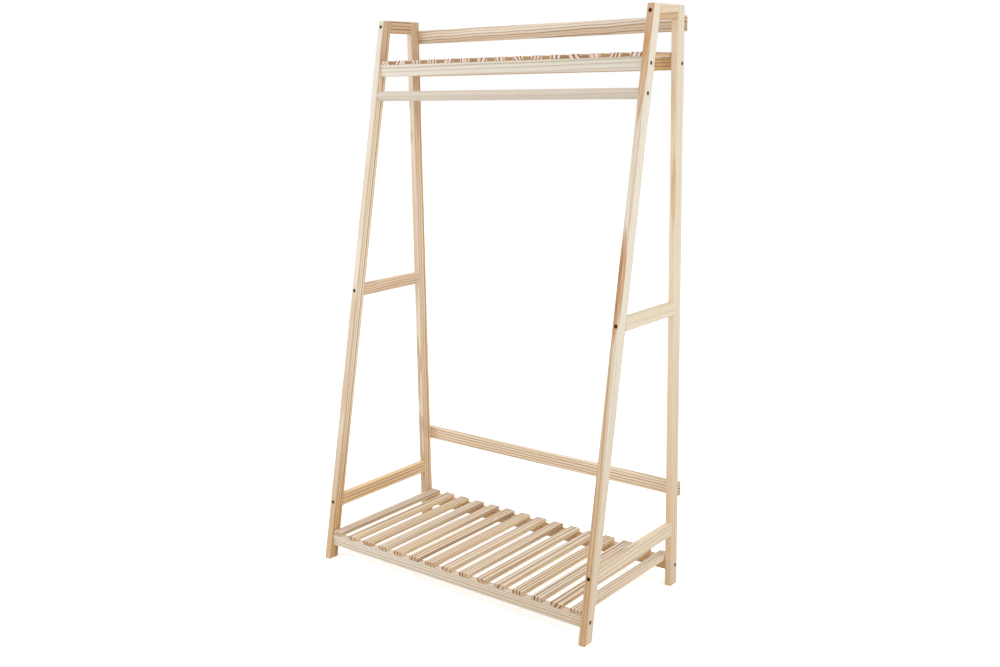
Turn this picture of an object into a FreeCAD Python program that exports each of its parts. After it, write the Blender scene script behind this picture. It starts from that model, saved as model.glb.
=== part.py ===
import FreeCAD, Part
import math
import os

os.makedirs("parts", exist_ok=True)

# An open frame wardrobe of planed pine: two side frames with raked front legs and upright rear legs,
# two back rails, a slatted shelf at the top and at the bottom, and a round hanging rod.
# Millimetres. X runs to the right, Y to the back, Z up. The origin is on the floor, under the middle
# of the part's outside box. Nothing moves: every joint is screwed, nailed or dowelled.

# Overall sizes. The reaches are measured forward from the rear faces of the rear legs.
overall_width = 1000.0
overall_height = 1688.0
foot_reach = 500.0
head_reach = 164.0

# Sections of the sticks
leg_thickness = 21.0
leg_depth = 36.0
side_rail_height = 38.0
back_rail_height = 42.0
back_rail_thickness = 15.0
shelf_rail_height = 36.0
shelf_rail_thickness = 20.0
slat_width = 36.0
slat_thickness = 12.0
slat_count = 15
slat_side_gap = 2.0
rod_diameter = 30.0

# Places of the cross pieces: centre lines above the floor, or below the top
middle_rail_height = 847.5
lower_rail_height = 179.5
lower_back_rail_height = 295.0
bottom_shelf_height = 60.0
upper_back_rail_drop = 47.5
top_shelf_drop = 155.5
rod_drop = 234.0

# Planed edges
stick_edge_radius = 2.0
slat_edge_chamfer = 1.2
sawn_edge_chamfer = 1.5

# Socket screws, with their bored seats. Their round parts are drawn with a few flat sides.
screw_head_diameter = 11.0
screw_head_height = 4.5
screw_recess = 1.5
screw_shank_diameter = 6.0
screw_tip_length = 5.0
screw_tip_share = 0.3
screw_length = 55.0
short_screw_length = 30.0
socket_width = 5.0
socket_depth = 3.0
seat_clearance = 0.5
back_rail_screw_spacing = 20.0
head_sides = 12
shank_sides = 6
socket_sides = 6

# Dowels that stop the side rails from turning on their screws, and the brads of the slats
dowel_diameter = 6.0
dowel_length = 24.0
dowel_offset = 11.0
dowel_sides = 8
brad_side = 1.6
brad_length = 25.0

# Working clearances of the bored holes, and how far a cutting tool passes a face
hole_clearance = 0.1
hole_end_gap = 1.0
overrun = 6.0

# Two directions count as parallel above this share of a full match.
parallel_share = 0.9999

X_WAY = FreeCAD.Vector(1, 0, 0)
Y_WAY = FreeCAD.Vector(0, 1, 0)
Z_WAY = FreeCAD.Vector(0, 0, 1)

# Planes that the pieces meet on
half_width = overall_width / 2
leg_inner_x = half_width - leg_thickness
total_depth = foot_reach + back_rail_thickness
rear_plane = total_depth / 2 - back_rail_thickness
rear_leg_front = rear_plane - leg_depth
rake = math.atan2(foot_reach - head_reach, overall_height)
leg_run = leg_depth / math.cos(rake)
rake_way = FreeCAD.Vector(0, math.sin(rake), math.cos(rake))
top_rail_height = overall_height - side_rail_height / 2
upper_back_rail_height = overall_height - upper_back_rail_drop
top_shelf_height = overall_height - top_shelf_drop
rod_height = overall_height - rod_drop

pieces = {}
groups = {}


def front_face(z):
    """Y of the raked front face of the front legs at the height z."""
    return rear_plane - foot_reach + (foot_reach - head_reach) * z / overall_height


def front_leg_back(z):
    """Y of the raked rear face of the front legs at the height z."""
    return front_face(z) + leg_run


def front_leg_middle(z):
    """Y of the middle of a front leg's depth at the height z."""
    return front_face(z) + leg_run / 2


def long_edges(solid, way):
    """The edges of a stick that run along the given way."""
    edges = []
    for edge in solid.Edges:
        run = edge.Vertexes[-1].Point - edge.Vertexes[0].Point
        if run.Length > 0 and abs(run.normalize().dot(way)) > parallel_share:
            edges.append(edge)
    return edges


def eased(solid, way):
    """Rounds the long edges of a planed stick."""
    return solid.makeFillet(stick_edge_radius, long_edges(solid, way))


def block(low, high):
    """A plain block between two corners."""
    return Part.makeBox(high.x - low.x, high.y - low.y, high.z - low.z, low)


def side_prism(outline, low_x):
    """A piece of a side frame: an outline of (y, z) points as thick as a leg."""
    points = [FreeCAD.Vector(low_x, y, z) for y, z in outline]
    face = Part.Face(Part.makePolygon(points + points[:1]))
    return face.extrude(X_WAY * leg_thickness)


def trimmed(leg):
    """Breaks the edges of a leg's sawn foot and sawn top."""
    ends = []
    for edge in leg.Edges:
        box = edge.BoundBox
        if box.ZMax < hole_clearance or box.ZMin > overall_height - hole_clearance:
            ends.append(edge)
    return leg.makeChamfer(sawn_edge_chamfer, ends)


def side_low_x(sign):
    """Lower X of a side frame: sign is -1 on the left and 1 on the right."""
    return min(sign * half_width, sign * leg_inner_x)


def front_leg(sign):
    """A raked leg, sawn level at the foot and at the top."""
    outline = [
        (front_face(0), 0),
        (front_leg_back(0), 0),
        (front_leg_back(overall_height), overall_height),
        (front_face(overall_height), overall_height),
    ]
    return eased(trimmed(side_prism(outline, side_low_x(sign))), rake_way)


def rear_leg(sign):
    """An upright leg."""
    low = FreeCAD.Vector(side_low_x(sign), rear_leg_front, 0)
    return eased(trimmed(Part.makeBox(leg_thickness, leg_depth, overall_height, low)), Z_WAY)


def side_rail(sign, middle_z):
    """A rail between the legs of one side, its front end sawn to the rake of the front leg."""
    low_z = middle_z - side_rail_height / 2
    high_z = middle_z + side_rail_height / 2
    outline = [
        (front_leg_back(low_z), low_z),
        (rear_leg_front, low_z),
        (rear_leg_front, high_z),
        (front_leg_back(high_z), high_z),
    ]
    return eased(side_prism(outline, side_low_x(sign)), Y_WAY)


def back_rail(middle_z):
    """A board across the rear faces of both rear legs, its ends flush with their outer faces."""
    low = FreeCAD.Vector(-half_width, rear_plane, middle_z - back_rail_height / 2)
    high = FreeCAD.Vector(half_width, rear_plane + back_rail_thickness, middle_z + back_rail_height / 2)
    return eased(block(low, high), X_WAY)


def shelf_rail(middle_y, middle_z):
    """A shelf's front or rear rail, between the inner faces of two legs."""
    low = FreeCAD.Vector(-leg_inner_x, middle_y - shelf_rail_thickness / 2, middle_z - shelf_rail_height / 2)
    high = FreeCAD.Vector(leg_inner_x, middle_y + shelf_rail_thickness / 2, middle_z + shelf_rail_height / 2)
    return eased(block(low, high), X_WAY)


def slat_middle_x(index):
    """X of the middle of a slat. The outer slats stand a small gap off the legs."""
    first = leg_inner_x - slat_side_gap - slat_width / 2
    return -first + 2 * first * index / (slat_count - 1)


def slat(index, front_y, rest_z):
    """One slat, lying on both rails of its shelf."""
    low = FreeCAD.Vector(slat_middle_x(index) - slat_width / 2, front_y, rest_z)
    high = FreeCAD.Vector(low.x + slat_width, rear_plane, rest_z + slat_thickness)
    plain = block(low, high)
    return plain.makeChamfer(slat_edge_chamfer, long_edges(plain, Y_WAY))


def hanging_rod():
    """A turned rod between the inner faces of the front legs."""
    end = FreeCAD.Vector(-leg_inner_x, front_leg_middle(rod_height), rod_height)
    return Part.makeCylinder(rod_diameter / 2, 2 * leg_inner_x, end, X_WAY)


def turned(solid, point, way):
    """Turns a tool or fastener, drawn along Z from zero, to run from the point along the way."""
    solid.Placement = FreeCAD.Placement(point, FreeCAD.Rotation(Z_WAY, way))
    return solid


def ring(sides, radius, z):
    """A closed regular outline round the Z axis. Small round pieces have few sides."""
    points = []
    for step in range(sides):
        angle = 2 * math.pi * step / sides
        points.append(FreeCAD.Vector(radius * math.cos(angle), radius * math.sin(angle), z))
    return Part.makePolygon(points + points[:1])


def prism(sides, radius, z, length):
    """A regular prism along the Z axis, from the height z up."""
    return Part.Face(ring(sides, radius, z)).extrude(Z_WAY * length)


def screw(point, way, length):
    """A socket screw driven from the surface point along the way. Its thread is a plain shank."""
    neck = screw_recess + screw_head_height
    body = length - screw_tip_length
    shank_radius = screw_shank_diameter / 2
    head = prism(head_sides, screw_head_diameter / 2, screw_recess, screw_head_height)
    shank = prism(shank_sides, shank_radius, neck, body)
    tip_start = ring(shank_sides, shank_radius, neck + body)
    tip_end = ring(shank_sides, shank_radius * screw_tip_share, neck + length)
    tip = Part.makeLoft([tip_start, tip_end], True, True)
    socket_radius = socket_width / 2 / math.cos(math.pi / socket_sides)
    key_socket = prism(socket_sides, socket_radius, screw_recess, socket_depth)
    return turned(head.fuse([shank, tip]).cut(key_socket).removeSplitter(), point, way)


def screw_hole(point, way, length):
    """The bored seat for a screw's head and the hole for its shank."""
    neck = screw_recess + screw_head_height
    seat_radius = screw_head_diameter / 2 + seat_clearance
    hole_radius = screw_shank_diameter / 2 + hole_clearance
    seat = prism(head_sides, seat_radius, -overrun, neck + overrun)
    hole = prism(shank_sides, hole_radius, neck, length + hole_end_gap)
    return turned(seat.fuse(hole).removeSplitter(), point, way)


def fasten(group, point, way, length, names):
    """Bores the named pieces for one screw and puts the screw into its group."""
    tool = screw_hole(point, way, length)
    for name in names:
        pieces[name] = pieces[name].cut(tool)
    groups.setdefault(group, []).append(screw(point, way, length))


def dowel_in(group, middle, names):
    """Puts a dowel across the joint at its middle point and bores the named pieces for it."""
    start = middle - Y_WAY * (dowel_length / 2)
    hole_radius = dowel_diameter / 2 + hole_clearance
    hole_length = dowel_length + 2 * hole_end_gap
    tool = turned(prism(dowel_sides, hole_radius, -hole_end_gap, hole_length), start, Y_WAY)
    for name in names:
        pieces[name] = pieces[name].cut(tool)
    dowel = turned(prism(dowel_sides, dowel_diameter / 2, 0, dowel_length), start, Y_WAY)
    groups.setdefault(group, []).append(dowel)


def square_pin(side, length, top):
    """A square pin hanging down from its top point."""
    corner = top - FreeCAD.Vector(side / 2, side / 2, length)
    return Part.makeBox(side, side, length, corner)


def nail(group, top, names):
    """Drives a square brad down from the top of a slat and opens the named pieces for it."""
    tool = square_pin(brad_side + 2 * hole_clearance, brad_length + hole_end_gap, top)
    for name in names:
        pieces[name] = pieces[name].cut(tool)
    groups.setdefault(group, []).append(square_pin(brad_side, brad_length, top))


def side_frame(side, sign):
    """Both legs of one side and the three rails between them."""
    middle_x = sign * (half_width - leg_thickness / 2)
    pieces[side + "_front_leg"] = front_leg(sign)
    pieces[side + "_rear_leg"] = rear_leg(sign)
    levels = {"top": top_rail_height, "middle": middle_rail_height, "lower": lower_rail_height}
    for level, z in levels.items():
        rail = side + "_" + level + "_rail"
        pieces[rail] = side_rail(sign, z)
        front = FreeCAD.Vector(middle_x, front_face(z), z)
        fasten("side_rail_front_screws", front, Y_WAY, screw_length, [side + "_front_leg", rail])
        rear = FreeCAD.Vector(middle_x, rear_plane, z)
        fasten("side_rail_rear_screws", rear, -Y_WAY, screw_length, [side + "_rear_leg", rail])
        dowel_z = z - dowel_offset
        joint = FreeCAD.Vector(middle_x, front_leg_back(dowel_z), dowel_z)
        dowel_in("side_rail_dowels", joint, [side + "_front_leg", rail])
        joint = FreeCAD.Vector(middle_x, rear_leg_front, dowel_z)
        dowel_in("side_rail_dowels", joint, [side + "_rear_leg", rail])


def across(name, leg, group, y, z):
    """Screws a cross piece to a pair of legs, through their outer faces."""
    for side, sign in (("left", -1), ("right", 1)):
        point = FreeCAD.Vector(sign * half_width, y, z)
        fasten(group, point, X_WAY * -sign, screw_length, [side + leg, name])


def shelf(level, z):
    """Front rail, rear rail and slats of one shelf, with their screws and brads."""
    front_y = front_leg_middle(z)
    rear_y = rear_plane - shelf_rail_thickness / 2
    front_rail = level + "_shelf_front_rail"
    rear_rail = level + "_shelf_rear_rail"
    pieces[front_rail] = shelf_rail(front_y, z)
    pieces[rear_rail] = shelf_rail(rear_y, z)
    across(front_rail, "_front_leg", level + "_shelf_screws", front_y, z)
    across(rear_rail, "_rear_leg", level + "_shelf_screws", rear_y, z)
    rest_z = z + shelf_rail_height / 2
    for index in range(slat_count):
        name = level + "_shelf_slat_" + str(index + 1).zfill(2)
        pieces[name] = slat(index, front_y - shelf_rail_thickness / 2, rest_z)
        for rail, y in ((front_rail, front_y), (rear_rail, rear_y)):
            top = FreeCAD.Vector(slat_middle_x(index), y, rest_z + slat_thickness)
            nail(level + "_shelf_brads", top, [name, rail])


def back(level, z):
    """One back rail, held to each rear leg by two short screws from behind."""
    rail = level + "_back_rail"
    pieces[rail] = back_rail(z)
    for side, sign in (("left", -1), ("right", 1)):
        middle_x = sign * (half_width - leg_thickness / 2)
        for step in (-1, 1):
            point_z = z + step * back_rail_screw_spacing / 2
            point = FreeCAD.Vector(middle_x, rear_plane + back_rail_thickness, point_z)
            fasten("back_rail_screws", point, -Y_WAY, short_screw_length, [rail, side + "_rear_leg"])


# The rack is put together in the order of a real one: sides, back rails, shelves, rod.
side_frame("left", -1)
side_frame("right", 1)
back("upper", upper_back_rail_height)
back("lower", lower_back_rail_height)
shelf("bottom", bottom_shelf_height)
shelf("top", top_shelf_height)
pieces["hanging_rod"] = hanging_rod()
across("hanging_rod", "_front_leg", "rod_screws", front_leg_middle(rod_height), rod_height)

for name, solid in pieces.items():
    solid.exportStep("parts/" + name + ".step")
for name, solids in groups.items():
    Part.makeCompound(solids).exportStep("parts/" + name + ".step")
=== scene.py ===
import math
import random

import bmesh
import bpy
from mathutils import Euler, Matrix, Vector


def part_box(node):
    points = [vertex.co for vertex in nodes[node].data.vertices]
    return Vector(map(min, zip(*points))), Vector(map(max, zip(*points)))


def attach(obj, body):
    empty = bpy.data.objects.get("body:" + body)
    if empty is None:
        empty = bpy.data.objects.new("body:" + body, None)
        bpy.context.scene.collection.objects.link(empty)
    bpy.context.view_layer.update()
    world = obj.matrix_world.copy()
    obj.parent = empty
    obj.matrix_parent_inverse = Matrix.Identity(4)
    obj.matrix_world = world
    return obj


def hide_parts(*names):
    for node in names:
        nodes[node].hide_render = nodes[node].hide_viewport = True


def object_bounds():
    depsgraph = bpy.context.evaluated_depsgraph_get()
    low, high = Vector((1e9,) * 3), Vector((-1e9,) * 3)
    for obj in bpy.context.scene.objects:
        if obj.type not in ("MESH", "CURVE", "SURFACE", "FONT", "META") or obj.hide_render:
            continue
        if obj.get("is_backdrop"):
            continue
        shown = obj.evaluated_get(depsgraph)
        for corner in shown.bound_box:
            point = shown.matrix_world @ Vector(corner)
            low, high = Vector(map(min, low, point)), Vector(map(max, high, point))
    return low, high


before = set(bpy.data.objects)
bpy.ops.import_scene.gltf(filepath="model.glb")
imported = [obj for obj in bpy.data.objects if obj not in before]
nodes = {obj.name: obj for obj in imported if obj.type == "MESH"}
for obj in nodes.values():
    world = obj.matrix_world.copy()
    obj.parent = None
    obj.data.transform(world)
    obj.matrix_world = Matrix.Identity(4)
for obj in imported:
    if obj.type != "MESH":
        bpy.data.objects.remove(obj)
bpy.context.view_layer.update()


# Front legs: two planed sticks of clear pine that lean back, sawn level at the foot and at the top.
# Each is cut from its own board, so its rings run round a tree's heart that lies outside the stick.
# The side rails, the shelf rails and the rod are screwed on through them.
class Wire:
    """One socket of a tree of nodes. A sum written with wires adds its Math nodes to the tree."""

    def __init__(self, wiring, socket):
        self.wiring = wiring
        self.socket = socket

    def calculate(self, operation, first, second=0.0):
        """Adds a Math node on one or two values."""
        return self.wiring.add("Math", {"operation": operation}, {0: first, 1: second})

    def __add__(self, other):
        return self.calculate("ADD", self, other)

    def __sub__(self, other):
        return self.calculate("SUBTRACT", self, other)

    def __rsub__(self, other):
        return self.calculate("SUBTRACT", other, self)

    def __mul__(self, other):
        return self.calculate("MULTIPLY", self, other)

    def __truediv__(self, other):
        return self.calculate("DIVIDE", self, other)

    def __rtruediv__(self, other):
        return self.calculate("DIVIDE", other, self)

    def __pow__(self, other):
        return self.calculate("POWER", self, other)

    def __rpow__(self, other):
        return self.calculate("POWER", other, self)

    def __neg__(self):
        return self * -1

    def __abs__(self):
        return self.calculate("ABSOLUTE", self)

    def __floor__(self):
        return self.calculate("FLOOR", self)

    __radd__ = __add__
    __rmul__ = __mul__

    def between(self, least, most):
        """Takes a share from 0 to 1 to the stretch from least to most."""
        return self * (most - least) + least


class Wiring:
    """A tree of shader nodes."""

    noise_middle = 0.5

    def __init__(self, tree):
        self.tree = tree

    def add(self, kind, settings, sockets, output=0):
        """Adds a node: first its settings, then the values or wires of its sockets."""
        node = self.tree.nodes.new("ShaderNode" + kind)
        for name, value in settings.items():
            if name == "stops":
                self.set_stops(node.color_ramp.elements, value)
            else:
                setattr(node, name, value)
        self.put(node, sockets)
        return Wire(self, node.outputs[output])

    def set_stops(self, elements, stops):
        """Gives a ramp its grey stops, pairs of a place and a level, the first at 0 and the last at 1."""
        for place, level in stops[1:-1]:
            elements.new(place)
        for element, (place, level) in zip(elements, stops):
            element.color = (level, level, level, 1)

    def put(self, node, sockets):
        """Sets or links sockets of a node."""
        for name, value in sockets.items():
            if isinstance(value, Wire):
                self.tree.links.new(value.socket, node.inputs[name])
            else:
                node.inputs[name].default_value = value

    def blend(self, way, share, first, second):
        """Blends two colours by a share from 0 to 1."""
        settings = {"data_type": "RGBA", "blend_type": way}
        return self.add("Mix", settings, {0: share, 6: first, 7: second}, 2)

    def noise(self, vector, waves, seed, detail):
        """Noise from 0 to 1, with so many waves per metre along each axis."""
        scaled = self.add("VectorMath", {"operation": "MULTIPLY"}, {0: vector, 1: waves})
        sockets = {"Vector": scaled, "W": seed, "Scale": 1.0, "Detail": detail}
        return self.add("TexNoise", {"noise_dimensions": "4D"}, sockets)

    def step(self, value, start, end):
        """Rises smoothly from 0 to 1 while the value goes from start to end."""
        sockets = {"Value": value, "From Min": start, "From Max": end}
        return self.add("MapRange", {"interpolation_type": "SMOOTHSTEP"}, sockets)


class Finish(Wiring):
    """A material made of nodes, on one Principled surface."""

    def __init__(self, name):
        self.material = bpy.data.materials.new(name)
        self.material.use_nodes = True
        super().__init__(self.material.node_tree)
        self.surface = self.tree.nodes["Principled BSDF"]

    def place(self):
        """Where a point of the surface lies in the frame of the rack."""
        return self.add("TexCoord", {}, {}, "Object")

    def cover(self, node):
        """Puts the finish on a piece of the frame."""
        slots = nodes[node].data.materials
        slots.clear()
        slots.append(self.material)


def shade(red, green, blue):
    """A colour as a screen shows it, from 0 to 255, for a colour socket, by the screen's usual curve."""
    levels = []
    for value in (red / 255, green / 255, blue / 255):
        levels.append(value / 12.92 if value <= 0.04045 else ((value + 0.055) / 1.055) ** 2.4)
    return (*levels, 1.0)


class Pine(Finish):
    """Solid pine for one stick. Its local X runs along the grain, from the middle of the stick.

    pith is where the tree's heart line passes the middle, lean how it drifts per metre of length, ring
    how thick a year's growth is, wander how far the rings stray and waves how often per metre. Inside
    heart_reach of the heart line the wood is heartwood. depth is how far the late rings darken sapwood
    and heartwood, tan how far the stick turns darker and browner towards its low end of X and from which
    share of its reach, end how far the end grain browns, edge how far the narrow sides take the colour of
    heartwood."""

    # How dark a ring is from its early to its late edge, and how much the years differ.
    late_stops = ((0.0, 0.0), (0.5, 0.05), (0.72, 0.55), (0.86, 1.0), (0.96, 0.95), (1.0, 0.0))
    faintest_year = 0.4
    year_change = 0.8
    year_seeds = 10

    # Each kind of grain: waves per metre along, across and into the stick, step of the seed, detail.
    year_grain = ((0.5, 60.0, 60.0), 2, 1.0)
    patch_grain = ((2.5, 45.0, 45.0), 3, 3.0)
    fibre_grain = ((14.0, 900.0, 900.0), 4, 2.0)

    # The rings stray in slow waves, made of noise that goes about so far from its middle.
    stray_waves = 7.0
    stray_detail = 2.0
    sway_seed = 0.5
    noise_reach = 0.25

    # Heartwood frays into sapwood, and the narrow sides show calmer rings than the broad ones.
    heart_fray = 0.012
    heart_blur = 0.003
    facing_range = (0.6, 0.9)
    edge_calm = 0.6
    end_depth = 0.5

    # Tints of the darker, browner low end of a stick and of its end grain, and of the patches and fibres in
    # the wood.
    low_end_tint = shade(230, 206, 174)
    end_tint = shade(222, 200, 174)
    patch_tint = shade(248, 238, 222)
    patch_range = (0.45, 0.75)
    patch_share = 0.4
    fibre_tint = shade(244, 234, 220)
    fibre_range = (0.45, 0.8)
    fibre_share = 0.5

    # A planed face with no lacquer: rings and fibres stand out by a hair.
    ring_relief = 0.5
    fibre_relief = 0.5
    relief_height = 0.0006
    relief_strength = 0.12
    roughness = (0.42, 0.62)
    gloss = 0.3

    def __init__(self, node, turn, pith, lean=(0.0, 0.0), ring=0.007, wander=0.003, waves=1.6,
                 sap=shade(234, 225, 207), heart=shade(226, 203, 171), late=shade(146, 98, 60),
                 heart_reach=0.04, depth=(0.9, 0.9), tan=(0.0, 0.2), end=0.5, edge=0.0, seed=0):
        super().__init__(node + "_pine")
        self.node = node
        self.seed = seed
        self.turn = Euler(turn).to_matrix()
        low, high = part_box(node)
        sockets = {"Vector": self.place(), "Location": (low + high) / 2, "Rotation": turn}
        self.local = self.add("Mapping", {"vector_type": "TEXTURE"}, sockets)
        split = self.add("SeparateXYZ", {}, {"Vector": self.local})
        self.along, self.across, self.deep = (Wire(self, output) for output in split.socket.node.outputs)

        radius = self.heart_distance(pith, lean, wander, (waves, self.stray_waves, self.stray_waves))
        stripes = self.late_wood(radius / ring)
        patch = self.grain(*self.patch_grain)
        fibre = self.grain(*self.fibre_grain)
        frayed = radius + (patch - self.noise_middle) * self.heart_fray
        heartwood = 1 - self.step(frayed, heart_reach - self.heart_blur, heart_reach + self.heart_blur)
        end_grain = self.facing((1, 0, 0))
        narrow_side = self.facing((0, 1, 0)) * edge

        colour = self.blend("MIX", heartwood, sap, heart)
        colour = self.blend("MIX", narrow_side, colour, heart)
        contrast = heartwood.between(*depth) + end_grain * self.end_depth
        line = stripes * (contrast * (1 - narrow_side * self.edge_calm))
        colour = self.blend("MIX", line, colour, late)
        reach = (high - low).length / 2
        low_end = self.step(self.along, reach * tan[1], -reach)
        colour = self.blend("MULTIPLY", low_end * tan[0], colour, self.low_end_tint)
        patchy = self.step(patch, *self.patch_range) * self.patch_share
        colour = self.blend("MULTIPLY", patchy, colour, self.patch_tint)
        fibrous = self.step(fibre, *self.fibre_range) * self.fibre_share
        colour = self.blend("MULTIPLY", fibrous, colour, self.fibre_tint)
        self.colour = self.blend("MULTIPLY", end_grain * end, colour, self.end_tint)

        relief = stripes * self.ring_relief + fibre * self.fibre_relief
        sockets = {"Strength": self.relief_strength, "Distance": self.relief_height, "Height": relief}
        bump = self.add("Bump", {}, sockets)
        rough = fibre.between(*self.roughness)
        self.put(self.surface, {"Roughness": rough, "Normal": bump, "Specular IOR Level": self.gloss})

    def grain(self, waves, seed_step, detail):
        """Noise on the stick's own axes."""
        return self.noise(self.local, waves, self.seed + seed_step, detail)

    def heart_distance(self, pith, lean, wander, waves):
        """How far a point lies from the heart line, with the strays of the rings."""
        stray = wander / self.noise_reach
        bend = self.grain(waves, 0, self.stray_detail) - self.noise_middle
        sway = self.grain(waves, self.sway_seed, self.stray_detail) - self.noise_middle
        aside = self.across - pith[0] - self.along * lean[0] + bend * stray
        inward = self.deep - pith[1] - self.along * lean[1] + sway * stray
        return (aside * aside + inward * inward) ** 0.5

    def late_wood(self, age):
        """The dark late part of each year's ring, strong in some years and faint in others."""
        years = age + (self.grain(*self.year_grain) - self.noise_middle) * self.year_change
        year = math.floor(years)
        year_seed = year + self.year_seeds * self.seed
        vigour = self.add("TexWhiteNoise", {"noise_dimensions": "1D"}, {"W": year_seed})
        late = self.add("ValToRGB", {"stops": self.late_stops}, {"Fac": years - year})
        return late * vigour.between(self.faintest_year, 1)

    def facing(self, axis):
        """1 where the surface faces along an axis of the stick, 0 where it runs beside that axis."""
        sockets = {0: self.add("TexCoord", {}, {}, "Normal"), 1: self.turn @ Vector(axis)}
        cosine = self.add("VectorMath", {"operation": "DOT_PRODUCT"}, sockets, "Value")
        return self.step(abs(cosine), *self.facing_range)

    def dress(self):
        """Puts the finished colour on the surface and the finish on the stick."""
        self.put(self.surface, {"Base Color": self.colour})
        self.cover(self.node)


rear_leg_low, rear_leg_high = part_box("left_rear_leg")
leg_half_width = (rear_leg_high.x - rear_leg_low.x) / 2
leg_half_depth = (rear_leg_high.y - rear_leg_low.y) / 2


class Leg(Pine):
    """The pine of a leg, with long stains of resin on its front, and painted shade near the top of the side
    towards +X.
    """

    stain_and_shade_skin = (0.003, 0.0005)
    stain_and_shade_fade = 0.4
    mottle_waves = (14.0, 260.0, 260.0)
    mottle_detail = 3.0
    mottle_range = (0.3, 0.62)
    mottle_least = 0.4

    def front(self):
        """The wire that points out of the front, its value there and the wire across the front."""
        return self.deep, leg_half_depth, self.across

    def right(self):
        """The same three for the side towards +X."""
        return -self.across, leg_half_width, self.deep

    def stain_and_shade(self, side, length, width, colour, share, seed):
        """Paints a mottled patch on a side, pointed at both ends: a resin stain on a front, and painted shade
        near the top of the side towards +X.

        length and width each hold the patch's middle, from the middle of the leg, and half its size."""
        out, face, beside = side
        reach = (self.along - length[0]) / length[1]
        lens = self.step(1 - reach * reach - abs(beside - width[0]) / width[1], 0.0, self.stain_and_shade_fade)
        skin = self.step(out, face - self.stain_and_shade_skin[0], face - self.stain_and_shade_skin[1])
        spots = self.noise(self.local, self.mottle_waves, seed, self.mottle_detail)
        mottle = self.step(spots, *self.mottle_range).between(self.mottle_least, 1)
        self.colour = self.blend("MIX", lens * skin * mottle * share, self.colour, colour)


top_rail_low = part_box("left_top_rail")[0]
lower_rail_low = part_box("left_lower_rail")[0]
rake = math.atan2(top_rail_low.y - lower_rail_low.y, top_rail_low.z - lower_rail_low.z)
raked = (0.0, rake - math.pi / 2, math.pi / 2)

left_leg = Leg("left_front_leg", raked, (-0.012, -0.100), ring=0.0095, wander=0.002,
               sap=shade(235, 226, 210), heart=shade(252, 232, 202), late=shade(128, 82, 46),
               heart_reach=0.116, depth=(0.3, 1.0), tan=(1.0, -0.2), seed=1)
left_leg.stain_and_shade(left_leg.front(), (-0.20, 0.25), (0.0, 0.030), shade(206, 164, 120), 0.6, 1)
left_leg.stain_and_shade(left_leg.front(), (0.30, 0.15), (0.0, 0.030), shade(212, 180, 140), 0.3, 2)
# Painted shade: a dark mottled patch near the top of the inner side, above the top shelf.
left_leg.stain_and_shade(left_leg.right(), (0.86, 0.22), (0.0, 0.040), shade(190, 142, 96), 0.6, 3)
left_leg.dress()

right_leg = Leg("right_front_leg", raked, (0.060, 0.080), (0.0, 0.030), ring=0.009,
                sap=shade(236, 228, 210), heart=shade(226, 201, 168),
                heart_reach=0.086, depth=(0.2, 0.9), tan=(0.52, 0.2), seed=2)
right_leg.stain_and_shade(right_leg.front(), (0.80, 0.30), (0.0, 0.020), shade(200, 142, 80), 0.9, 5)
right_leg.stain_and_shade(right_leg.front(), (0.40, 0.22), (-0.008, 0.004), shade(206, 152, 98), 0.5, 6)
right_leg.stain_and_shade(right_leg.front(), (0.11, 0.18), (0.001, 0.018), shade(204, 148, 90), 0.9, 7)
right_leg.stain_and_shade(right_leg.front(), (0.10, 0.15), (0.005, 0.007), shade(122, 74, 38), 0.5, 8)
right_leg.stain_and_shade(right_leg.front(), (-0.76, 0.16), (-0.002, 0.020), shade(178, 128, 82), 0.25, 9)
right_leg.dress()


# Rear legs: two upright sticks of the same pine and section, behind the front legs.
# The side rails butt against their front faces, and the back rails lie on their rear faces.
upright = (0.0, -math.pi / 2, math.pi / 2)

left_rear_leg = Leg("left_rear_leg", upright, (0.002, -0.0368), (0.003, -0.005), ring=0.011,
                    wander=0.0045, waves=4.0, sap=shade(238, 222, 198), heart=shade(248, 220, 184),
                    late=shade(156, 106, 60), heart_reach=0.050, depth=(0.65, 1.0), tan=(0.25, 0.0), seed=3)
left_rear_leg.stain_and_shade(left_rear_leg.front(), (0.14, 0.30), (0.002, 0.012), shade(204, 162, 112), 0.5, 5)
# Painted shade: a dark mottled patch near the top of the inner side, above the top shelf.
left_rear_leg.stain_and_shade(left_rear_leg.right(), (0.84, 0.42), (0.0, 0.040), shade(182, 134, 90), 0.5, 4)
left_rear_leg.dress()

right_rear_leg = Leg("right_rear_leg", upright, (0.004, 0.1255), (0.0, 0.001), ring=0.0145, wander=0.001,
                     sap=shade(235, 224, 202), heart=shade(242, 224, 196),
                     heart_reach=0.1145, depth=(0.4, 0.5), tan=(0.5, 0.2), seed=4)
right_rear_leg.stain_and_shade(right_rear_leg.front(), (0.34, 0.15), (-0.003, 0.009), shade(216, 176, 122), 0.75, 8)
right_rear_leg.stain_and_shade(right_rear_leg.front(), (0.57, 0.10), (0.001, 0.010), shade(214, 170, 112), 0.35, 9)
right_rear_leg.dress()


# Side rails: three pine sticks per side between the legs, flush with both faces of the legs.
# Their front ends are sawn to the rake, and each end is held by a screw and a dowel.
depthwise = (0.0, 0.0, math.pi / 2)

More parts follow.
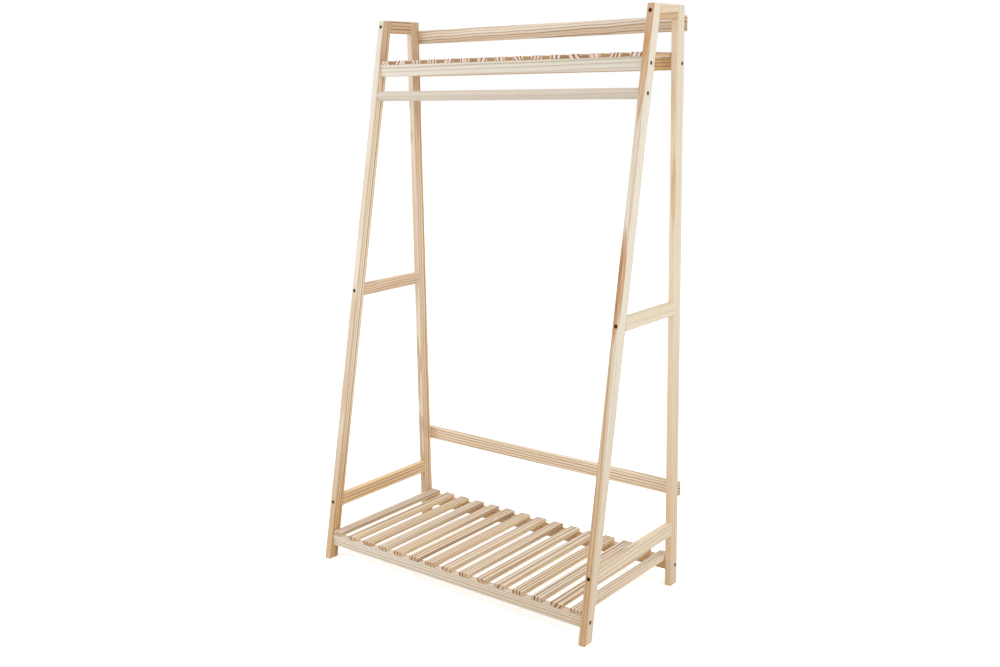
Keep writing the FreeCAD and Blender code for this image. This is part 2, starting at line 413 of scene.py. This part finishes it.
Pine("left_top_rail", depthwise, (-0.030, 0.080), ring=0.010, heart=shade(230, 197, 160),
     heart_reach=0.120, seed=11).dress()
Pine("left_middle_rail", depthwise, (-0.020, 0.060), (0.0, 0.02), ring=0.0085, wander=0.004, waves=6.0,
     heart=shade(243, 214, 182), heart_reach=0.120, seed=12).dress()
Pine("left_lower_rail", depthwise, (-0.004, 0.0663), ring=0.011, heart=shade(246, 214, 170),
     heart_reach=0.120, seed=13).dress()
Pine("right_top_rail", depthwise, (-0.030, -0.045), (0.0, 0.08), ring=0.016, sap=shade(232, 213, 184),
     heart=shade(212, 178, 134), heart_reach=0.048, depth=(0.3, 0.4), seed=14).dress()
Pine("right_middle_rail", depthwise, (0.0, -0.070), ring=0.018, sap=shade(234, 221, 196),
     heart_reach=0.030, depth=(0.22, 0.22), seed=15).dress()
Pine("right_lower_rail", depthwise, (0.0, 0.080), (0.0, 0.03), ring=0.012, sap=shade(234, 218, 192),
     heart_reach=0.040, depth=(0.5, 0.5), seed=16).dress()


# Back rails: two flat pine boards across the rear faces of the rear legs, screwed on from behind.
# They keep the rack square, and their ends are flush with the outer faces of the legs.
widthwise = (0.0, 0.0, 0.0)

Pine("upper_back_rail", widthwise, (-0.020, -0.070), (0.01, 0.015), ring=0.0085, wander=0.005, waves=3.5,
     sap=shade(250, 236, 216), heart=shade(228, 207, 180), late=shade(124, 86, 60),
     heart_reach=0.070, depth=(0.8, 0.8), end=0.8, seed=21).dress()
Pine("lower_back_rail", widthwise, (-0.020, -0.070), (0.0, -0.015), ring=0.009, wander=0.004,
     sap=shade(252, 235, 209), heart=shade(250, 230, 201), heart_reach=0.07, end=0.8, seed=22).dress()


# Shelf rails: for each shelf a pine stick between the front legs and another between the rear legs.
# The slats lie on them, and a screw through each leg holds each end.
end_for_end = (0.0, 0.0, math.pi)

Pine("bottom_shelf_front_rail", end_for_end, (0.0, 0.090), ring=0.0085, wander=0.002,
     sap=shade(233, 221, 203), late=shade(144, 108, 78), heart_reach=0.02, tan=(0.35, 0.8), seed=31).dress()
# The rail's sapwood colour is darkened: painted shade on the rail where it shows between the slats.
Pine("bottom_shelf_rear_rail", widthwise, (0.0, -0.080), ring=0.009, sap=shade(228, 192, 146),
     heart_reach=0.04, seed=32).dress()
Pine("top_shelf_front_rail", widthwise, (0.0, -0.090), (0.0, 0.008), ring=0.013, wander=0.003,
     sap=shade(234, 227, 211), late=shade(160, 130, 100), heart_reach=0.03, depth=(0.7, 0.7), seed=33).dress()
Pine("top_shelf_rear_rail", widthwise, (0.0, 0.070), ring=0.010, heart=shade(232, 194, 142),
     heart_reach=0.12, seed=34).dress()


# Slats: fifteen thin pine sticks on each shelf, ripped so that their rings stand nearly upright.
# Each lies on both rails with an even gap to the next, nailed at each end.
slat_heart_angle = 0.6
slat_heart_distance = (0.08, 0.14)
slat_heart_reach = (0.04, 0.08)
slat_lean = 0.01
slat_wander = 0.0015
slat_ring = (0.010, 0.0155)
slat_depth = (0.95, 1.15)
slat_seeds = (40, 90)
cool_late = (128, 69, 28)
warm_late = (118, 59, 20)

# The wood of each shelf: coolest and warmest sapwood, heartwood, browning of the end grain and the
# least that its narrow sides take of the heartwood's colour. On the top shelf that heartwood colour is
# darkened and the narrow sides take nearly all of it: painted shade in the gaps between the slats.
slat_wood_and_gap_shade = {
    "bottom": ((238, 223, 201), (234, 213, 183), shade(242, 216, 176), 0.7, 0.6),
    "top": ((246, 231, 217), (242, 221, 199), shade(208, 172, 132), 0.0, 0.9),
}


def shade_between(first, second, share):
    """A shade that lies so far from the first colour to the second."""
    return shade(*(start + (end - start) * share for start, end in zip(first, second)))


chance = random.Random(7)
for level, (cool_sap, warm_sap, heart, end, least_edge) in slat_wood_and_gap_shade.items():
    for slat in sorted(node for node in nodes if node.startswith(level + "_shelf_slat_")):
        angle = chance.uniform(-slat_heart_angle, slat_heart_angle)
        distance = chance.uniform(*slat_heart_distance) * chance.choice((-1, 1))
        pith = (distance * math.cos(angle), distance * math.sin(angle))
        warm = chance.uniform(0, 1)
        depth = chance.uniform(*slat_depth)
        lean = (chance.uniform(-slat_lean, slat_lean), 0.0)
        ring = chance.uniform(*slat_ring)
        heart_reach = chance.uniform(*slat_heart_reach)
        seed = chance.uniform(*slat_seeds)
        # On the top shelf, heart carries painted shade onto the narrow sides of the slats, in the gaps
        # between them.
        Pine(slat, depthwise, pith, lean, ring=ring, wander=slat_wander,
             sap=shade_between(cool_sap, warm_sap, warm), heart=heart,
             late=shade_between(cool_late, warm_late, warm), heart_reach=heart_reach, depth=(depth, depth),
             end=end, edge=least_edge + (1 - least_edge) * warm, seed=seed).dress()


# Hanging rod: a turned pine rod between the front legs under the top shelf, with a screw in each end.
# It is sanded smooth, so its rings show only as faint long stripes.
Pine("hanging_rod", widthwise, (0.020, 0.060), ring=0.012, wander=0.003, sap=shade(222, 210, 195),
     heart=shade(220, 203, 185), late=shade(176, 148, 126), heart_reach=0.04, depth=(0.3, 0.3),
     seed=90).dress()


# Socket screws: bronzed steel, with dark heads just below the wood and a six-sided key socket.
# They hold the side rails, shelf rails and rod through the legs, and the back rails from behind.
rod_screw_low, rod_screw_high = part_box("rod_screws")
head_radius = (rod_screw_high.z - rod_screw_low.z) / 2
head_height = 0.0045
head_edge = 0.0007
head_sides = 24
edge_steps = 3
socket_radius = 0.0029
socket_depth = 0.003
socket_sides = 6
shank_radius = 0.0028
point_length = 0.005
point_radius = 0.0009
crease_angle = math.radians(35)
weld_distance = 1e-6


def pull(shape, edges, offset):
    """Extrudes a ring of edges by an offset and gives the new ring."""
    made = bmesh.ops.extrude_edge_only(shape, edges=edges)["geom"]
    ring = [item for item in made if isinstance(item, bmesh.types.BMEdge)]
    verts = [item for item in made if isinstance(item, bmesh.types.BMVert)]
    bmesh.ops.translate(shape, verts=verts, vec=(0, 0, offset))
    return [edge for edge in ring if all(vert in verts for vert in edge.verts)]


def narrow(shape, edges, share):
    """Scales a ring of edges towards the screw's axis."""
    verts = list({vert for edge in edges for vert in edge.verts})
    bmesh.ops.scale(shape, verts=verts, vec=(share, share, 1))


def ring_edges(made):
    """The edges of a new circle."""
    return list({edge for vert in made["verts"] for edge in vert.link_edges})


def socket_screw(length):
    """One screw along Z, from the face of its head at zero to its point."""
    shape = bmesh.new()
    rim = ring_edges(bmesh.ops.create_circle(shape, segments=head_sides, radius=head_radius))
    socket = ring_edges(bmesh.ops.create_circle(shape, segments=socket_sides, radius=socket_radius))
    bmesh.ops.bridge_loops(shape, edges=rim + socket)
    bmesh.ops.edgeloop_fill(shape, edges=pull(shape, socket, socket_depth))
    neck = pull(shape, pull(shape, rim, head_height), 0)
    narrow(shape, neck, shank_radius / head_radius)
    shank = pull(shape, neck, length - head_height - point_length)
    point = pull(shape, shank, point_length)
    narrow(shape, point, point_radius / shank_radius)
    bmesh.ops.edgeloop_fill(shape, edges=point)
    bmesh.ops.bevel(shape, geom=rim, offset=head_edge, affect="EDGES", segments=edge_steps, profile=0.5,
                    material=-1)
    bmesh.ops.recalc_face_normals(shape, faces=shape.faces)
    mesh = bpy.data.meshes.new("screw")
    shape.to_mesh(mesh)
    shape.free()
    return mesh


def solid_boxes(node):
    """The boxes of the separate solids in a group of fasteners."""
    shape = bmesh.new()
    shape.from_mesh(nodes[node].data)
    bmesh.ops.remove_doubles(shape, verts=shape.verts, dist=weld_distance)
    left = set(shape.verts)
    boxes = []
    while left:
        found = [left.pop()]
        for vert in found:
            near = {edge.other_vert(vert) for edge in vert.link_edges} & left
            left -= near
            found.extend(near)
        corners = [vert.co.copy() for vert in found]
        low = Vector(map(min, *corners))
        high = Vector(map(max, *corners))
        boxes.append((low, high))
    shape.free()
    return boxes


def placed(point, way):
    """How a screw drawn along Z gets to a point, along a way."""
    return Matrix.Translation(point) @ way.to_track_quat("Z", "Y").to_matrix().to_4x4()


wear_waves = (700.0, 700.0, 700.0)
wear_range = (0.4, 0.7)
dark_bronze = shade(62, 42, 22)
worn_bronze = shade(98, 68, 38)
bronze_roughness = (0.25, 0.55)
bronze = Finish("bronzed_steel")
wear = bronze.noise(bronze.place(), wear_waves, seed=1, detail=3.0)
bronze.put(bronze.surface, {
    "Base Color": bronze.blend("MIX", bronze.step(wear, *wear_range), dark_bronze, worn_bronze),
    "Roughness": wear.between(*bronze_roughness),
    "Metallic": 0.95,
})

# The way in which each group is driven. The screws along X go in from both sides of the rack.
screw_groups = {
    "side_rail_front_screws": Vector((0, 1, 0)),
    "side_rail_rear_screws": Vector((0, -1, 0)),
    "back_rail_screws": Vector((0, -1, 0)),
    "top_shelf_screws": Vector((1, 0, 0)),
    "bottom_shelf_screws": Vector((1, 0, 0)),
    "rod_screws": Vector((1, 0, 0)),
}
for group, way in screw_groups.items():
    shape = bmesh.new()
    for low, high in solid_boxes(group):
        middle = (low + high) / 2
        inward = way * (-1 if way.x and middle.x > 0 else 1)
        length = abs((high - low).dot(way))
        screw = socket_screw(length)
        screw.transform(placed(middle - inward * (length / 2), inward))
        shape.from_mesh(screw)
        bpy.data.meshes.remove(screw)
    mesh = bpy.data.meshes.new(group)
    shape.to_mesh(mesh)
    shape.free()
    mesh.shade_smooth()
    mesh.set_sharp_from_angle(angle=crease_angle)
    mesh.materials.append(bronze.material)
    piece = bpy.data.objects.new(group + "_bronzed", mesh)
    bpy.context.scene.collection.objects.link(piece)
    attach(piece, "root")
    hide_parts(group)


# Dowels: short beech pegs beside the screws of the side rails, hidden in the joints.
# They stop the rails from turning on their screws.
fleck_waves = (900.0, 90.0, 900.0)
fleck_range = (0.4, 0.7)
pale_beech = shade(222, 190, 152)
dark_beech = shade(190, 148, 108)
beech_roughness = (0.5, 0.7)
beech = Finish("beech")
flecks = beech.noise(beech.place(), fleck_waves, seed=1, detail=2.0)
beech.put(beech.surface, {
    "Base Color": beech.blend("MIX", beech.step(flecks, *fleck_range), pale_beech, dark_beech),
    "Roughness": flecks.between(*beech_roughness),
})
beech.cover("side_rail_dowels")


# Brads: small nails of bright drawn steel, one through each end of each slat into the rail below.
# Their heads are flush with the tops of the slats.
drawn_waves = (2500.0, 2500.0, 120.0)
dull_steel = shade(150, 146, 140)
bright_steel = shade(190, 187, 182)
steel_roughness = (0.3, 0.6)
steel = Finish("bright_steel")
drawn = steel.noise(steel.place(), drawn_waves, seed=1, detail=2.0)
steel.put(steel.surface, {
    "Base Color": steel.blend("MIX", drawn, dull_steel, bright_steel),
    "Roughness": drawn.between(*steel_roughness),
    "Metallic": 0.9,
})
steel.cover("top_shelf_brads")
steel.cover("bottom_shelf_brads")


# Floor: a wide white studio floor that keeps a soft shadow of the rack.
# It is matt, and glows a little to the camera so that it meets the white background without an edge.
floor_half = 60.0
floor_white = (0.9, 0.9, 0.9, 1)
floor_glow = 0.55


def shown(wiring):
    """1 for what the camera, gloss and glass see, 0 for light that goes from one surface to another."""
    seen = wiring.add("LightPath", {}, {}, "Is Camera Ray")
    mirrored = wiring.add("LightPath", {}, {}, "Is Glossy Ray")
    through = wiring.add("LightPath", {}, {}, "Is Transmission Ray")
    return seen.calculate("MINIMUM", seen + mirrored + through, 1.0)


floor_shape = bmesh.new()
bmesh.ops.create_grid(floor_shape, x_segments=1, y_segments=1, size=floor_half)
floor_mesh = bpy.data.meshes.new("floor")
floor_shape.to_mesh(floor_mesh)
floor_shape.free()
floor = bpy.data.objects.new("floor", floor_mesh)
bpy.context.scene.collection.objects.link(floor)
floor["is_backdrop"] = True

paper = Finish("white_floor")
matt = paper.add("BsdfDiffuse", {}, {"Color": floor_white})
glow = paper.add("Emission", {}, {"Strength": shown(paper) * floor_glow})
both = paper.add("AddShader", {}, {0: matt, 1: glow})
paper.put(paper.tree.nodes["Material Output"], {"Surface": both})
floor_mesh.materials.append(paper.material)


# Studio light: an even white room, a broad ceiling lamp and a softbox on each side of the camera.
# What the camera, gloss and glass see of the room is plain white.
room_white = (1, 1, 1, 1)
room_level = 0.45
room = bpy.data.worlds.new("room")
room.use_nodes = True
bpy.context.scene.world = room
room_light = Wiring(room.node_tree)
room_strength = shown(room_light).between(room_level, 1)
room_light.put(room.node_tree.nodes["Background"], {"Color": room_white, "Strength": room_strength})

ceiling_from = Vector((0.1, -0.3, 1.0))
ceiling = bpy.data.lights.new("ceiling_lamp", "SUN")
ceiling.energy = 1.2
ceiling.angle = math.radians(70)
ceiling_object = bpy.data.objects.new("ceiling_lamp", ceiling)
ceiling_object.rotation_euler = ceiling_from.to_track_quat("Z", "Y").to_euler()
bpy.context.scene.collection.objects.link(ceiling_object)

# Each softbox: its place, the point that it faces and its power.
softbox_width = 1.4
softbox_height = 2.0
softboxes = {
    "left_softbox": (Vector((-1.9, -1.6, 1.6)), Vector((-0.4, 0.0, 0.9)), 17.0),
    "right_softbox": (Vector((3.0, -0.3, 1.9)), Vector((0.0, 0.0, 0.9)), 24.0),
}
for name, (place, target, power) in softboxes.items():
    softbox = bpy.data.lights.new(name, "AREA")
    softbox.shape = "RECTANGLE"
    softbox.size = softbox_width
    softbox.size_y = softbox_height
    softbox.energy = power
    softbox_object = bpy.data.objects.new(name, softbox)
    softbox_object.location = place
    softbox_object.visible_camera = False
    softbox_object.rotation_euler = (place - target).to_track_quat("Z", "Y").to_euler()
    bpy.context.scene.collection.objects.link(softbox_object)


# Camera: to the right of the rack and a little under its top, as in the photograph.
# It looks slightly down, and a small shift of the lens sets the rack in the middle of the picture.
camera_place = (2.0494, -2.5666, 1.4755)
camera_turn = (79.102, 0.928, 38.013)
camera = bpy.data.cameras.new("camera")
camera.sensor_width = 36.0
camera.lens = 40.4
camera.shift_y = -0.03
camera_object = bpy.data.objects.new("camera", camera)
camera_object.location = camera_place
camera_object.rotation_euler = [math.radians(angle) for angle in camera_turn]
bpy.context.scene.collection.objects.link(camera_object)
bpy.context.scene.camera = camera_object
bpy.context.scene.view_settings.view_transform = "Standard"

low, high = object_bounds()
